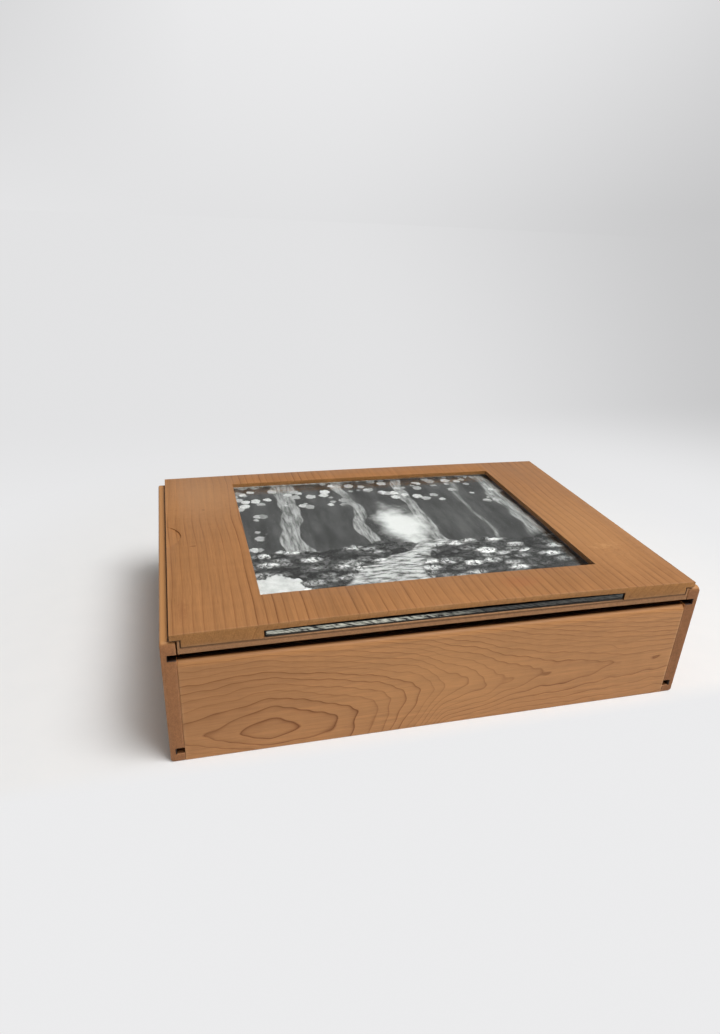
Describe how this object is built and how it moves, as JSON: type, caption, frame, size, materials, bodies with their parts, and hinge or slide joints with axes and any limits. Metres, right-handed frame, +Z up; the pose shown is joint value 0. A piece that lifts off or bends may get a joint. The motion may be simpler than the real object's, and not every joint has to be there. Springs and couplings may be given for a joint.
{
  "type": "photo storage box",
  "caption": "Low wooden box for photos with a sliding lid; a window in the lid shows a print kept behind a clear sheet in a slot that is open at the front edge.",
  "frame": {"origin": "on the surface the box stands on, under the middle of the box", "axes": "+X to the right seen from the front, along the longest side; +Y to the back; +Z up. The lid slides out towards -Y."},
  "size_m": [0.381, 0.263, 0.1001],
  "materials": {
    "wall_cherry": "satin oil",
    "panel_cherry": "satin oil",
    "lid_cherry": "satin oil",
    "lid_base_cherry": "satin oil",
    "runner_maple": "waxed",
    "bottom_ply": "satin oil",
    "dowel_beech": "raw",
    "screw_brass": "satin",
    "clear_sheet": "clear",
    "photo_print": "semi-gloss",
    "backing": "matte"
  },
  "bodies": {
    "box": {"side_wall_left": "wall_cherry", "side_wall_right": "wall_cherry", "front_panel": "panel_cherry", "back_panel": "panel_cherry", "bottom_panel": "bottom_ply", "corner_dowels": "dowel_beech"},
    "lid": {"lid_frame": "lid_cherry", "lid_base": "lid_base_cherry", "runner_left": "runner_maple", "runner_right": "runner_maple", "runner_screws": "screw_brass"},
    "glazing": {"glazing_sheet": "clear_sheet"},
    "print": {"display_print": "photo_print"},
    "backing": {"backing_card": "backing"}
  },
  "joints": [
    {"name": "lid_slide", "type": "slide", "parent": "box", "child": "lid", "axis": [0, -1, 0], "range_m": [0, 0.19]},
    {"name": "glazing_slide", "type": "slide", "parent": "lid", "child": "glazing", "axis": [0, -1, 0], "range_m": [0, 0.22]},
    {"name": "print_slide", "type": "slide", "parent": "lid", "child": "print", "axis": [0, -1, 0], "range_m": [0, 0.22]},
    {"name": "backing_slide", "type": "slide", "parent": "lid", "child": "backing", "axis": [0, -1, 0], "range_m": [0, 0.22]}
  ]
}
